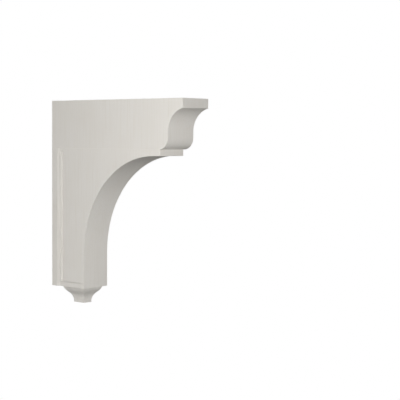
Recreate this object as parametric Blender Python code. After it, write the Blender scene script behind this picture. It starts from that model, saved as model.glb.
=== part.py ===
"""Arched corbel bracket with a drop at its foot, modelled from its driving sizes.

Metres, +Z up. The wall is the plane y = 0 and the bracket reaches out along -Y. The origin is the middle
of the wall face. Profiles are drawn as (out, up) points: out is the distance from the wall, and up is the
height above the tip of the drop.
"""
import math

import bmesh
import bpy
from mathutils import Matrix

# Overall sizes
WIDTH = 0.0635
REACH = 0.3048
HEIGHT = 0.3556

# Head: fascia, cove, short upright nose and the round below it
FASCIA_HEIGHT = 0.0160
COVE_DEPTH = 0.0315
COVE_HEIGHT = 0.0373
COVE_START = math.radians(102)
NOSE_FLAT = 0.0105
NOSE_RADIUS = 0.0193

# Web: the band under the head, the arch and the leg
SIDE_STEP = 0.0030
BAND_HEIGHT = 0.0109
BAND_LIP = 0.0148
LEG_DEPTH = 0.0772
LEG_RUN = 0.0614

# Back board with chamfered front edges
BOARD_THICKNESS = 0.0164
CHAMFER_DEPTH = 0.0037

# Upright groove in each side of the web, just in front of the board
GROOVE_WIDTH = 0.0063
GROOVE_OFFSET = 0.0024
GROOVE_STOP = 0.0053

# Fine line cut across each side of the leg near its foot, from the upright groove to short of the front
LINE_WIDTH = 0.0008
LINE_DEPTH = 0.0025
LINE_HEIGHT = 0.0086
LINE_STOP = 0.0085

# Drop under the leg, set in from its sides
DROP_HEIGHT = 0.0289
LAND_HEIGHT = 0.0010
DROP_TOP_INSET = 0.0062
DROP_TIP_INSET = 0.01965
DROP_TIP_HEIGHT = 0.0022
HOLLOW_RADIUS = 0.0215
HOLLOW_ANGLE = math.radians(49)

# Clearance between the drop and the underside that it is fixed to
JOINT_GAP = 0.0003

# Curve fineness
COVE_STEPS = 20
NOSE_STEPS = 12
ARCH_STEPS = 48
HOLLOW_STEPS = 10
SWELL_STEPS = 8

# How far cutters and joined solids run past a face, so that no two faces coincide
OVERRUN = 0.004
MERGE_DISTANCE = 0.00001

# Sizes that follow from the ones above
WEB_WIDTH = WIDTH - 2 * SIDE_STEP
NOSE_OUT = REACH - COVE_DEPTH
BAND_OUT = NOSE_OUT - NOSE_RADIUS
COVE_TOP = HEIGHT - FASCIA_HEIGHT
COVE_END = COVE_TOP - COVE_HEIGHT
ROUND_TOP = COVE_END - NOSE_FLAT
HEAD_UNDERSIDE = ROUND_TOP - NOSE_RADIUS
BAND_UNDERSIDE = HEAD_UNDERSIDE - BAND_HEIGHT
BOARD_BOTTOM = DROP_HEIGHT
DROP_TOP = DROP_HEIGHT - JOINT_GAP
SWELL_TOP = DROP_TOP - LAND_HEIGHT
LINE_UP = BOARD_BOTTOM + LINE_HEIGHT
GROOVE_START = BOARD_THICKNESS + GROOVE_OFFSET
LINE_END = LEG_DEPTH - LINE_STOP
SPRING_HEIGHT = BOARD_BOTTOM + LEG_RUN
ARCH_RISE = BAND_UNDERSIDE - SPRING_HEIGHT
ARCH_END = BAND_OUT - BAND_LIP
ARCH_SPAN = ARCH_END - LEG_DEPTH
CHAMFER_START = BOARD_THICKNESS - CHAMFER_DEPTH
ORIGIN_HEIGHT = (HEIGHT + BOARD_BOTTOM) / 2

PAINT_COLOUR = (0.80, 0.78, 0.74, 1.0)
PAINT_ROUGHNESS = 0.45

# Turns a flat drawing so that its x points out from the wall and its y points up
SIDE_VIEW = Matrix.Translation((0, 0, -ORIGIN_HEIGHT)) @ Matrix((
    (0, 0, -1, 0),
    (-1, 0, 0, 0),
    (0, 1, 0, 0),
    (0, 0, 0, 1),
))


def clear_scene():
    """Remove every object that the new file came with."""
    for thing in list(bpy.data.objects):
        bpy.data.objects.remove(thing, do_unlink=True)


def new_collection(name):
    """Make a collection and link it to the scene."""
    collection = bpy.data.collections.new(name)
    bpy.context.scene.collection.children.link(collection)
    return collection


def painted_wood(name):
    """Make a plain satin paint."""
    material = bpy.data.materials.new(name)
    material.use_nodes = True
    shader = material.node_tree.nodes["Principled BSDF"]
    shader.inputs["Base Color"].default_value = PAINT_COLOUR
    shader.inputs["Roughness"].default_value = PAINT_ROUGHNESS
    shader.inputs["Metallic"].default_value = 0.0
    return material


def arc(centre, radii, start, end, steps):
    """Points along an arc of an ellipse, both ends included, with the angles in radians."""
    points = []
    for step in range(steps + 1):
        angle = start + (end - start) * step / steps
        out = centre[0] + radii[0] * math.cos(angle)
        up = centre[1] + radii[1] * math.sin(angle)
        points.append((out, up))
    return points


def extruded_outline(name, outline, thickness, placement, collection):
    """Make a closed mesh from a flat outline, extruded evenly to both sides of its plane."""
    curve = bpy.data.curves.new(name, "CURVE")
    curve.dimensions = "2D"
    curve.fill_mode = "BOTH"
    curve.extrude = thickness / 2
    spline = curve.splines.new("POLY")
    spline.points.add(len(outline) - 1)
    for point, (x, y) in zip(spline.points, outline):
        point.co = (x, y, 0, 1)
    spline.use_cyclic_u = True
    drawing = bpy.data.objects.new(name + "_drawing", curve)
    collection.objects.link(drawing)
    drawing.matrix_world = placement
    bpy.context.view_layer.update()

    evaluated = drawing.evaluated_get(bpy.context.evaluated_depsgraph_get())
    mesh = bpy.data.meshes.new_from_object(evaluated)
    mesh.name = name
    mesh.materials.clear()
    solid = bpy.data.objects.new(name, mesh)
    solid.matrix_world = drawing.matrix_world.copy()
    bpy.data.objects.remove(drawing, do_unlink=True)
    weld(mesh)
    collection.objects.link(solid)
    return solid


def weld(mesh):
    """Join the loose caps of a filled curve to its walls."""
    work = bmesh.new()
    work.from_mesh(mesh)
    bmesh.ops.remove_doubles(work, verts=work.verts[:], dist=MERGE_DISTANCE)
    bmesh.ops.recalc_face_normals(work, faces=work.faces[:])
    work.to_mesh(mesh)
    work.free()


def make_tool(thing):
    """Mark an object that only cuts or joins."""
    thing.hide_render = True
    thing.display_type = "WIRE"


def combine(target, tool, operation):
    """Cut or join with an exact Boolean that stays on the object."""
    make_tool(tool)
    boolean = target.modifiers.new(tool.name, "BOOLEAN")
    boolean.operation = operation
    boolean.solver = "EXACT"
    boolean.object = tool


def head_and_board_outline():
    """Side outline of the head with the back board below it.

    The cove is an arc of an ellipse. It starts a little past the ellipse's top, so it leaves the fascia at a
    slope, and it ends upright at the nose.
    """
    cove_radii = (COVE_DEPTH / (1 + math.cos(COVE_START)), COVE_HEIGHT / math.sin(COVE_START))
    cove = arc((NOSE_OUT + cove_radii[0], COVE_END), cove_radii, COVE_START, math.pi, COVE_STEPS)
    nose = arc((BAND_OUT, ROUND_TOP), (NOSE_RADIUS, NOSE_RADIUS), 0, -math.pi / 2, NOSE_STEPS)
    return (
        [(0, BOARD_BOTTOM), (0, HEIGHT), (REACH, HEIGHT)]
        + cove
        + nose
        + [(BOARD_THICKNESS, HEAD_UNDERSIDE), (BOARD_THICKNESS, BOARD_BOTTOM)]
    )


def web_outline():
    """Side outline of the band, the arch and the leg, run into the board and the head."""
    arch = arc((ARCH_END, SPRING_HEIGHT), (ARCH_SPAN, ARCH_RISE), math.pi / 2, math.pi, ARCH_STEPS)
    buried = BOARD_THICKNESS - OVERRUN
    return (
        [(buried, BOARD_BOTTOM), (buried, HEAD_UNDERSIDE + OVERRUN), (BAND_OUT, HEAD_UNDERSIDE + OVERRUN)]
        + [(BAND_OUT, BAND_UNDERSIDE)]
        + arch
        + [(LEG_DEPTH, BOARD_BOTTOM)]
    )


def upright_prism(name, plan, bottom, top, collection):
    """Make an upright prism from a plan drawn as (x, out) points, between two heights."""
    middle = (bottom + top) / 2 - ORIGIN_HEIGHT
    outline = [(x, -out) for x, out in plan]
    return extruded_outline(name, outline, top - bottom, Matrix.Translation((0, 0, middle)), collection)


def box(name, size, centre, collection):
    """Make a box from a cube primitive, with its size in the mesh."""
    bpy.ops.mesh.primitive_cube_add(size=1)
    thing = bpy.context.active_object
    thing.name = name
    thing.data.name = name
    for home in list(thing.users_collection):
        home.objects.unlink(thing)
    collection.objects.link(thing)
    thing.data.transform(Matrix.Diagonal((*size, 1)))
    thing.location = centre
    return thing


def square_on_corner(centre, width):
    """Square that is set on its corner and cuts a V of the given width."""
    half = width / 2
    x, y = centre
    return [(x + half, y), (x, y + half), (x - half, y), (x, y - half)]


def chamfer_plan(side):
    """Plan of the corner that comes off a front edge of the board, on the side given by 1 or -1."""
    across = SIDE_STEP / CHAMFER_DEPTH
    outside = WIDTH / 2 + across * OVERRUN
    inside = WEB_WIDTH / 2 - across * OVERRUN
    front = BOARD_THICKNESS + OVERRUN
    return [
        (side * outside, CHAMFER_START - OVERRUN),
        (side * outside, front),
        (side * inside, front),
    ]


def make_body(parts, tools):
    """The bracket itself: head, back board and arched web as one solid."""
    body = extruded_outline("bracket_body", head_and_board_outline(), WIDTH, SIDE_VIEW, parts)
    web = extruded_outline("web", web_outline(), WEB_WIDTH, SIDE_VIEW, tools)
    for side, word in ((-1, "left"), (1, "right")):
        chamfer = upright_prism(
            "chamfer_" + word, chamfer_plan(side), BOARD_BOTTOM - OVERRUN, HEAD_UNDERSIDE, tools)
        combine(body, chamfer, "DIFFERENCE")
    combine(body, web, "UNION")
    for side, word in ((-1, "left"), (1, "right")):
        face = side * WEB_WIDTH / 2
        groove_plan = square_on_corner((face, GROOVE_START + GROOVE_WIDTH / 2), GROOVE_WIDTH)
        groove = upright_prism("groove_" + word, groove_plan, LINE_UP, HEAD_UNDERSIDE - GROOVE_STOP, tools)
        combine(body, groove, "DIFFERENCE")
        line_size = (2 * LINE_DEPTH, LINE_END - GROOVE_START, LINE_WIDTH)
        line_centre = (face, -(GROOVE_START + LINE_END) / 2, LINE_UP - ORIGIN_HEIGHT)
        line = box("line_" + word, line_size, line_centre, tools)
        combine(body, line, "DIFFERENCE")
    body.data.materials.append(painted_wood("body_paint"))
    return body


def drop_profile():
    """Outline of the drop as (inset, up) points, from the land at its top down to the tip.

    A swell turns into a hollow, and a short upright tip ends it. The inset is counted from the sides and
    front of the leg and the chamfer's start on the board, and is the same on all four sides.
    """
    hollow_centre = DROP_TIP_INSET - HOLLOW_RADIUS
    hollow = arc(
        (hollow_centre, DROP_TIP_HEIGHT),
        (HOLLOW_RADIUS, HOLLOW_RADIUS),
        HOLLOW_ANGLE,
        0,
        HOLLOW_STEPS,
    )
    turn_inset, turn_up = hollow[0]
    run = turn_inset - DROP_TOP_INSET
    rise = SWELL_TOP - turn_up
    swell_angle = 2 * (HOLLOW_ANGLE - math.atan2(run, rise))
    swell_radius = math.hypot(run, rise) / (2 * math.sin(swell_angle / 2))
    swell_centre = (
        turn_inset + swell_radius * math.cos(HOLLOW_ANGLE),
        turn_up + swell_radius * math.sin(HOLLOW_ANGLE),
    )
    turn_angle = math.pi + HOLLOW_ANGLE
    swell = arc(swell_centre, (swell_radius, swell_radius), turn_angle - swell_angle, turn_angle, SWELL_STEPS)
    return swell[:-1] + hollow


def grow_drop(mesh, profile):
    """Carry the underside of a box down along the profile, inset by inset."""
    work = bmesh.new()
    work.from_mesh(mesh)
    underside = min(work.faces, key=lambda face: face.calc_center_median().z)
    for (inset, up), (next_inset, next_up) in zip(profile, profile[1:]):
        bmesh.ops.inset_region(
            work,
            faces=[underside],
            thickness=next_inset - inset,
            depth=up - next_up,
            use_even_offset=True,
        )
    extruded = bmesh.ops.extrude_discrete_faces(work, faces=[underside])
    tip = extruded["faces"][0]
    bmesh.ops.translate(work, verts=tip.verts, vec=(0, 0, -profile[-1][1]))
    work.to_mesh(mesh)
    work.free()


def make_drop(parts):
    """The drop: an ogee on a nearly square plan, under the leg and just clear of it."""
    width = WEB_WIDTH - 2 * DROP_TOP_INSET
    depth = LEG_DEPTH - CHAMFER_START - 2 * DROP_TOP_INSET
    centre = (0, -(CHAMFER_START + LEG_DEPTH) / 2, (DROP_TOP + SWELL_TOP) / 2 - ORIGIN_HEIGHT)
    drop = box("foot_drop", (width, depth, LAND_HEIGHT), centre, parts)
    grow_drop(drop.data, drop_profile())
    drop.data.materials.append(painted_wood("drop_paint"))
    return drop


def main():
    """Build the bracket from an empty scene."""
    clear_scene()
    parts = new_collection("arched_bracket")
    tools = new_collection("tools")
    make_body(parts, tools)
    make_drop(parts)


main()
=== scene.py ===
"""Looks of the arched wall bracket: painted pieces, a pale studio and the camera."""

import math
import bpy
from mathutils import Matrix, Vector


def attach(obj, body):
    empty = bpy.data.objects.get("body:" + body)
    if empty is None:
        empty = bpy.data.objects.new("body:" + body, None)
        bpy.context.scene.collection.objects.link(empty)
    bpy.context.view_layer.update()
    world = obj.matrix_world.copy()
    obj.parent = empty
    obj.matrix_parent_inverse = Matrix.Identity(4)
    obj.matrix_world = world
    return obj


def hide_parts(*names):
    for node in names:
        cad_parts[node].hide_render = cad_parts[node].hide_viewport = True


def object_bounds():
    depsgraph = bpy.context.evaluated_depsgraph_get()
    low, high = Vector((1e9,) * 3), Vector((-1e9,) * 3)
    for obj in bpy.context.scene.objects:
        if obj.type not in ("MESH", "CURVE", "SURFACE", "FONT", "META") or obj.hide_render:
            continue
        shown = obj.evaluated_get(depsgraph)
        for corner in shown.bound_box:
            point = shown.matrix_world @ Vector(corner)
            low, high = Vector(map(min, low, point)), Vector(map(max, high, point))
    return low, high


bl_info = {
    "name": "Arched bracket looks",
    "version": (1, 0, 0),
    "blender": (4, 5, 0),
    "location": "3D View > Sidebar > Bracket",
    "description": "Dresses the arched wall bracket in satin paint and sets up its studio",
    "category": "Object",
}

from collections import namedtuple

import bmesh
import bpy
from bpy.props import FloatProperty, FloatVectorProperty, IntProperty, PointerProperty
from bpy.types import Operator, Panel, PropertyGroup
from mathutils import Matrix, Vector

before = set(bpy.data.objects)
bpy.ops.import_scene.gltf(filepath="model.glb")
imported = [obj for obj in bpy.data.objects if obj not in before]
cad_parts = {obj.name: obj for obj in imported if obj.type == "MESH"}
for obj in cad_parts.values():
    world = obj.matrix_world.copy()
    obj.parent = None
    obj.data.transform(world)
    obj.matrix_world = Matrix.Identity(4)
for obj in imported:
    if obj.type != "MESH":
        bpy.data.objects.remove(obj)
CAD_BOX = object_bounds()

# The camera stands to the left of the bracket and in front of it, a little above its middle
CAMERA_PLACE = Vector((-1.4107, -1.4933, 0.0982))
CAMERA_TURN = math.radians(-50.13)
CAMERA_TILT = math.radians(3.08)
CAMERA_ROLL = math.radians(0.34)
CAMERA_LENS_MM = 102.5
CAMERA_SENSOR_MM = 36.0

# Lamps stand round this point. Turn is the angle from straight in front of the bracket towards its left,
# lift is the angle above its middle, both in degrees, and the sizes and distances are in metres. A lamp that
# is not mirrored lights the paint without leaving a highlight of its own on it
LAMP_AIM = Vector((0.0, -0.12, 0.0))
Lamp = namedtuple("Lamp", "name turn lift distance width height watts mirrored")
LAMPS = (
    Lamp("key_strip_near", 50, 0, 0.5, 0.175, 1.5, 1.30, False),
    Lamp("key_strip_front", 40, 0, 1.1, 0.385, 1.1, 2.86, False),
    Lamp("left_softbox", 100, 0, 2.5, 1.5, 1.5, 30.9, True),
    Lamp("front_softbox", -20, 0, 2.5, 1.5, 1.5, 22.9, True),
    Lamp("low_softbox_left", 60, -30, 2.5, 1.5, 1.5, 2.2, True),
    Lamp("low_softbox_right", -60, -30, 2.5, 1.5, 1.5, 3.7, True),
    Lamp("right_softbox", -115, 0, 2.5, 1.5, 1.5, 29.0, False),
    Lamp("back_softbox", -158, 0, 2.5, 1.2, 1.5, 28.0, False),
    Lamp("top_softbox", -135, 66, 2.5, 1.0, 1.0, 45.0, False),
)

# Angles that tell one flat face, a curve's facets and a worked edge apart
FLAT_ANGLE = math.radians(0.5)
SMOOTH_ANGLE = math.radians(12)
EDGE_ANGLE = math.radians(20)

# Corners nearer than this are one corner
MERGE_DISTANCE = 0.00002

# Patches of the coat, in metres, and the grain's width as a share of its length
CLOUD_SIZE = 0.07
FLECK_SIZE = 0.006
GRAIN_NARROWNESS = 0.035

# The stretch of each noise that shows, and how far it carries the colour towards the thin coat's
CLOUD_RANGE = (0.35, 0.75)
CLOUD_SHARE = 0.45
GRAIN_RANGE = (0.48, 0.72)
GRAIN_SHARE = 0.6

# How the roughness varies over the flecks, and how much smoother the rubbed edges are
FLECK_RANGE = (0.3, 0.7)
FLECK_ROUGHNESS = 0.04
EDGE_SMOOTHING = 0.08

# Likeness of the rounded and the true normal at which the rubbing and its painted highlight start and are
# full
RUBBED_AND_HIGHLIT_RANGE = (0.99, 0.86)
RUBBED_AND_HIGHLIT_SAMPLES = 8

BLACK = (0.0, 0.0, 0.0, 1.0)
WHITE = (1.0, 1.0, 1.0, 1.0)


class BracketPaint(PropertyGroup):
    """Sizes and colours of the painted pieces."""

    edge_ease: FloatProperty(
        name="Edge ease", description="Width of the rubbed-down outer edges", default=0.00012, precision=5,
        unit="LENGTH")
    edge_steps: IntProperty(
        name="Edge steps", description="Facets across an eased edge", default=3, min=1, max=6)
    paint_colour: FloatVectorProperty(
        name="Paint", description="Colour of the top coat", default=(0.807, 0.780, 0.732), size=3,
        subtype="COLOR", min=0.0, max=1.0)
    thin_colour: FloatVectorProperty(
        name="Thin paint", description="Colour where the coat is thinner over the wood", size=3,
        default=(0.765, 0.73, 0.665), subtype="COLOR", min=0.0, max=1.0)
    # Painted highlight: the rubbed outer edges are painted lighter than the coat
    edge_highlight_colour: FloatVectorProperty(
        name="Rubbed edge", description="Colour of the edges, where the coat is rubbed thin", size=3,
        default=(0.85, 0.825, 0.775), subtype="COLOR", min=0.0, max=1.0)
    # Reach of the rubbed paint and of the painted highlight on it
    edge_width: FloatProperty(
        name="Rubbed width", description="How far the rubbed paint reaches from an edge", default=0.0012,
        precision=5, unit="LENGTH")
    roughness: FloatProperty(
        name="Roughness", description="Roughness of the satin coat", default=0.42, subtype="FACTOR",
        min=0.0, max=1.0)
    grain_size: FloatProperty(
        name="Grain size", description="Width of the grain lines that show faintly through the coat",
        default=0.0026, precision=5, unit="LENGTH")
    grain_depth: FloatProperty(
        name="Grain depth", description="Height of the grain under the coat", default=0.00012, precision=6,
        unit="LENGTH")
    stipple_size: FloatProperty(
        name="Stipple size", description="Size of the fine texture that the roller leaves", default=0.0016,
        precision=5, unit="LENGTH")
    stipple_depth: FloatProperty(
        name="Stipple depth", description="Height of that texture", default=0.00005, precision=6,
        unit="LENGTH")


class BracketStudio(PropertyGroup):
    """Floor and lights."""

    floor_drop: FloatProperty(
        name="Floor drop", description="Height of the bracket's lowest point above the floor", default=2.4,
        unit="LENGTH")
    floor_size: FloatProperty(
        name="Floor size", description="Side of the square floor", default=60.0, unit="LENGTH")
    floor_colour: FloatVectorProperty(
        name="Floor colour", description="Colour of the floor", default=(1.0, 1.0, 1.0), size=3,
        subtype="COLOR", min=0.0, max=1.0)
    lamp_level: FloatProperty(
        name="Lamp level", description="Strength of all the lamps together", default=1.0, min=0.0)


def merged_copy(node):
    """A bmesh of a node's own shape, with its loose triangles joined into whole flat faces."""
    shape = bmesh.new()
    shape.from_mesh(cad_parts[node].data)
    bmesh.ops.remove_doubles(shape, verts=shape.verts[:], dist=MERGE_DISTANCE)
    bmesh.ops.dissolve_limit(
        shape, angle_limit=FLAT_ANGLE, verts=shape.verts[:], edges=shape.edges[:])
    return shape


def ease_edges(shape, width, steps):
    """Round the outer edges of a shape slightly, as sanding and paint leave them, and give the new faces."""
    edges = [
        edge for edge in shape.edges
        if edge.is_manifold and edge.calc_face_angle_signed() > EDGE_ANGLE
    ]
    eased = bmesh.ops.bevel(
        shape, geom=edges, affect="EDGES", offset=width, offset_type="OFFSET", segments=steps,
        profile=0.5, clamp_overlap=True, material=-1)
    return set(eased["faces"])


def shade_curves(shape, eased):
    """Shade the curves smooth, and keep the flat faces crisp beside the eased edges."""
    for face in shape.faces:
        face.smooth = True
    for edge in shape.edges:
        sides = {face in eased for face in edge.link_faces}
        edge.smooth = len(sides) == 1 and edge.calc_face_angle(math.pi) < SMOOTH_ANGLE


def painted_piece(name, node, material, settings):
    """Make the eased and painted piece that stands for a node."""
    shape = merged_copy(node)
    eased = ease_edges(shape, settings.edge_ease, settings.edge_steps)
    shade_curves(shape, eased)
    bmesh.ops.triangulate(shape, faces=[face for face in shape.faces if len(face.verts) > 4])
    mesh = bpy.data.meshes.new(name)
    shape.to_mesh(mesh)
    shape.free()
    mesh.materials.append(material)
    piece = bpy.data.objects.new(name, mesh)
    bpy.context.scene.collection.objects.link(piece)
    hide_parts(node)
    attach(piece, "root")


def add_node(tree, kind, label, place):
    """Add a labelled shader node."""
    node = tree.nodes.new(kind)
    node.label = label
    node.location = place
    return node


def noise(tree, label, place, vector, size, detail):
    """Add a noise whose patches are about the given size."""
    node = add_node(tree, "ShaderNodeTexNoise", label, place)
    node.inputs["Scale"].default_value = 1.0 / size
    node.inputs["Detail"].default_value = detail
    tree.links.new(vector, node.inputs["Vector"])
    return node.outputs["Fac"]


def ranged(tree, label, place, value, source, target):
    """Bring a value from one range into another."""
    node = add_node(tree, "ShaderNodeMapRange", label, place)
    node.inputs["From Min"].default_value = source[0]
    node.inputs["From Max"].default_value = source[1]
    node.inputs["To Min"].default_value = target[0]
    node.inputs["To Max"].default_value = target[1]
    tree.links.new(value, node.inputs["Value"])
    return node.outputs["Result"]


def mixed(tree, label, place, factor, first, second):
    """Mix two colours. Each one is a socket or a plain colour."""
    node = add_node(tree, "ShaderNodeMix", label, place)
    node.data_type = "RGBA"
    tree.links.new(factor, node.inputs["Factor"])
    for name, colour in (("A", first), ("B", second)):
        socket = [item for item in node.inputs if item.name == name and item.type == "RGBA"][0]
        if isinstance(colour, bpy.types.NodeSocket):
            tree.links.new(colour, socket)
        else:
            socket.default_value = (*colour, 1.0)
    return [item for item in node.outputs if item.type == "RGBA"][0]


def relief(tree, label, place, height, depth):
    """Add a bump that is as high as the given depth."""
    node = add_node(tree, "ShaderNodeBump", label, place)
    node.inputs["Strength"].default_value = 1.0
    node.inputs["Distance"].default_value = depth
    tree.links.new(height, node.inputs["Height"])
    return node


def rubbed_edges_with_painted_highlight(tree, width):
    """A mask that is 1 on the outer edges and 0 on the faces and in the inner corners. It places the
    smoother rubbed coat and a painted highlight.
    """
    rounded = add_node(tree, "ShaderNodeBevel", "Normal rounded over the edges", (-1400, 900))
    rounded.samples = RUBBED_AND_HIGHLIT_SAMPLES
    rounded.inputs["Radius"].default_value = width
    plain = add_node(tree, "ShaderNodeNewGeometry", "True normal", (-1400, 720))
    likeness = add_node(tree, "ShaderNodeVectorMath", "How alike they are", (-1200, 900))
    likeness.operation = "DOT_PRODUCT"
    tree.links.new(rounded.outputs["Normal"], likeness.inputs[0])
    tree.links.new(plain.outputs["Normal"], likeness.inputs[1])
    return ranged(
        tree, "Rubbed edges and painted highlight", (-1000, 900), likeness.outputs["Value"], RUBBED_AND_HIGHLIT_RANGE, (0.0, 1.0))


def satin_paint(name, settings):
    """Satin paint over sanded wood.

    The coat is faintly cloudy, the upright grain of the wood shows through it as shallow lines, the roller
    has left a fine stipple, and the edges are rubbed a little smoother and carry a painted highlight that
    makes them lighter.
    """
    material = bpy.data.materials.new(name)
    material.use_nodes = True
    tree = material.node_tree
    links = tree.links
    shader = tree.nodes["Principled BSDF"]
    shader.inputs["Specular IOR Level"].default_value = 0.5

    place = add_node(tree, "ShaderNodeTexCoord", "Place on the piece", (-1700, 0)).outputs["Object"]
    along_grain = add_node(tree, "ShaderNodeMapping", "Stretched along the grain", (-1500, -400))
    along_grain.inputs["Scale"].default_value = (1.0, 1.0, GRAIN_NARROWNESS)
    links.new(place, along_grain.inputs["Vector"])

    cloud = noise(tree, "Uneven coat", (-1200, 500), place, CLOUD_SIZE, detail=3.0)
    fleck = noise(tree, "Fine mottle", (-1200, 250), place, FLECK_SIZE, detail=2.0)
    grain = noise(
        tree, "Grain lines", (-1200, -400), along_grain.outputs["Vector"], settings.grain_size, detail=3.0)
    stipple = noise(
        tree, "Roller stipple", (-1200, -650), place, settings.stipple_size, detail=1.0)
    # Mask of the outer edges, for the smoother rubbed coat and for a painted highlight
    edges = rubbed_edges_with_painted_highlight(tree, settings.edge_width)

    thin = ranged(tree, "Thinner coat", (-900, 500), cloud, CLOUD_RANGE, (0.0, CLOUD_SHARE))
    coat = mixed(
        tree, "Coat colour", (-600, 500), thin, settings.paint_colour, settings.thin_colour)
    lined = ranged(tree, "Grain tone", (-900, 250), grain, GRAIN_RANGE, (0.0, GRAIN_SHARE))
    coat = mixed(tree, "Coat with grain", (-400, 400), lined, coat, settings.thin_colour)
    # Painted highlight: the outer edges are mixed towards a lighter colour than the coat
    coat = mixed(tree, "Coat with painted highlight on rubbed edges", (-200, 400), edges, coat, settings.edge_highlight_colour)
    links.new(coat, shader.inputs["Base Color"])

    spread = (settings.roughness - FLECK_ROUGHNESS, settings.roughness + FLECK_ROUGHNESS)
    uneven = ranged(tree, "Uneven roughness", (-900, 0), fleck, FLECK_RANGE, spread)
    smoother = ranged(tree, "Smoother edges", (-600, 900), edges, (0.0, 1.0), (0.0, -EDGE_SMOOTHING))
    total = add_node(tree, "ShaderNodeMath", "Roughness with smoother edges", (-400, 0))
    total.operation = "ADD"
    links.new(uneven, total.inputs[0])
    links.new(smoother, total.inputs[1])
    links.new(total.outputs["Value"], shader.inputs["Roughness"])

    grain_relief = relief(tree, "Grain relief", (-600, -400), grain, settings.grain_depth)
    stipple_relief = relief(tree, "Stipple relief", (-300, -500), stipple, settings.stipple_depth)
    links.new(grain_relief.outputs["Normal"], stipple_relief.inputs["Normal"])
    links.new(stipple_relief.outputs["Normal"], shader.inputs["Normal"])
    return material


class PaintedBody(Operator):
    """Make the painted head, back board and arched web with its leg"""

    bl_idname = "bracket.body"
    bl_label = "Bracket body"

    def execute(self, context):
        settings = context.scene.bracket_paint
        paint = satin_paint("body_paint", settings)
        painted_piece("painted_bracket", "bracket_body", paint, settings)
        return {"FINISHED"}


class PaintedDrop(Operator):
    """Make the painted drop under the leg"""

    bl_idname = "bracket.drop"
    bl_label = "Drop"

    def execute(self, context):
        settings = context.scene.bracket_paint
        paint = satin_paint("drop_paint", settings)
        painted_piece("painted_drop", "foot_drop", paint, settings)
        return {"FINISHED"}


def lamp_place(lamp):
    """Where a lamp stands."""
    turn = math.radians(lamp.turn)
    lift = math.radians(lamp.lift)
    level = Vector((-math.sin(turn), -math.cos(turn), 0)) * math.cos(lift)
    return LAMP_AIM + (level + Vector((0, 0, math.sin(lift)))) * lamp.distance


def add_lamp(scene, lamp, level):
    """Add an area light that faces the bracket, with its height upright."""
    light = bpy.data.lights.new(lamp.name, "AREA")
    light.shape = "RECTANGLE"
    light.size = lamp.width
    light.size_y = lamp.height
    light.energy = lamp.watts * level
    thing = bpy.data.objects.new(lamp.name, light)
    thing.visible_glossy = lamp.mirrored
    scene.collection.objects.link(thing)
    place = lamp_place(lamp)
    facing = (LAMP_AIM - place).to_track_quat("-Z", "Y").to_matrix().to_4x4()
    thing.matrix_world = Matrix.Translation(place) @ facing


def white_surround(scene):
    """White behind everything that the camera sees. It throws no light on the bracket."""
    world = bpy.data.worlds.new("studio_surround")
    scene.world = world
    world.use_nodes = True
    tree = world.node_tree
    background = tree.nodes["Background"]
    background.inputs["Color"].default_value = WHITE
    path = add_node(tree, "ShaderNodeLightPath", "Seen by the camera", (-300, 300))
    tree.links.new(path.outputs["Is Camera Ray"], background.inputs["Strength"])


def studio_floor(settings):
    """A plain pale floor below all the lamps, lit from within so that it stays even."""
    shape = bmesh.new()
    bmesh.ops.create_grid(shape, x_segments=1, y_segments=1, size=settings.floor_size / 2)
    height = CAD_BOX[0][2] - settings.floor_drop
    bmesh.ops.translate(shape, verts=shape.verts[:], vec=(0, 0, height))
    mesh = bpy.data.meshes.new("studio_floor")
    shape.to_mesh(mesh)
    shape.free()
    floor = bpy.data.objects.new("studio_floor", mesh)
    bpy.context.scene.collection.objects.link(floor)
    material = bpy.data.materials.new("floor_white")
    material.use_nodes = True
    shader = material.node_tree.nodes["Principled BSDF"]
    shader.inputs["Base Color"].default_value = BLACK
    shader.inputs["Specular IOR Level"].default_value = 0.0
    shader.inputs["Roughness"].default_value = 1.0
    shader.inputs["Emission Color"].default_value = (*settings.floor_colour, 1.0)
    shader.inputs["Emission Strength"].default_value = 1.0
    mesh.materials.append(material)
    floor.visible_diffuse = False
    floor.visible_glossy = False


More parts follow.
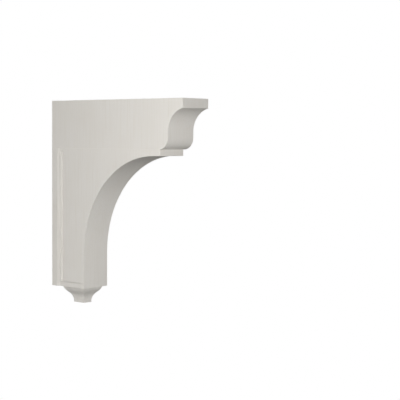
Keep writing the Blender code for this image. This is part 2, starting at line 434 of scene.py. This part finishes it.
def studio_camera(scene):
    """Place the camera of the photograph."""
    data = bpy.data.cameras.new("camera")
    data.sensor_width = CAMERA_SENSOR_MM
    data.lens = CAMERA_LENS_MM
    camera = bpy.data.objects.new("camera", data)
    scene.collection.objects.link(camera)
    camera.matrix_world = (
        Matrix.Translation(CAMERA_PLACE)
        @ Matrix.Rotation(CAMERA_TURN, 4, "Z")
        @ Matrix.Rotation(math.pi / 2 - CAMERA_TILT, 4, "X")
        @ Matrix.Rotation(CAMERA_ROLL, 4, "Z")
    )
    scene.camera = camera


class Studio(Operator):
    """Set up the floor, the lights and the camera"""

    bl_idname = "bracket.studio"
    bl_label = "Studio"

    def execute(self, context):
        scene = context.scene
        scene.view_settings.view_transform = "Standard"
        settings = scene.bracket_studio
        studio_floor(settings)
        white_surround(scene)
        for lamp in LAMPS:
            add_lamp(scene, lamp, settings.lamp_level)
        studio_camera(scene)
        return {"FINISHED"}


class BracketPanel(Panel):
    """Lists the pieces and their settings"""

    bl_idname = "VIEW3D_PT_bracket"
    bl_label = "Arched bracket"
    bl_space_type = "VIEW_3D"
    bl_region_type = "UI"
    bl_category = "Bracket"

    def draw(self, context):
        layout = self.layout
        paint = context.scene.bracket_paint
        studio = context.scene.bracket_studio
        for name in BracketPaint.__annotations__:
            layout.prop(paint, name)
        layout.operator(PaintedBody.bl_idname)
        layout.operator(PaintedDrop.bl_idname)
        for name in BracketStudio.__annotations__:
            layout.prop(studio, name)
        layout.operator(Studio.bl_idname)


CLASSES = (BracketPaint, BracketStudio, PaintedBody, PaintedDrop, Studio, BracketPanel)


def register():
    """Register the classes and their settings."""
    for item in CLASSES:
        bpy.utils.register_class(item)
    bpy.types.Scene.bracket_paint = PointerProperty(type=BracketPaint)
    bpy.types.Scene.bracket_studio = PointerProperty(type=BracketStudio)


def unregister():
    """Take the classes and their settings away again."""
    del bpy.types.Scene.bracket_studio
    del bpy.types.Scene.bracket_paint
    for item in reversed(CLASSES):
        bpy.utils.unregister_class(item)


def main():
    """Dress the bracket and set up the studio."""
    register()
    bpy.ops.bracket.body()
    bpy.ops.bracket.drop()
    bpy.ops.bracket.studio()


if __name__ == "__main__":
    main()
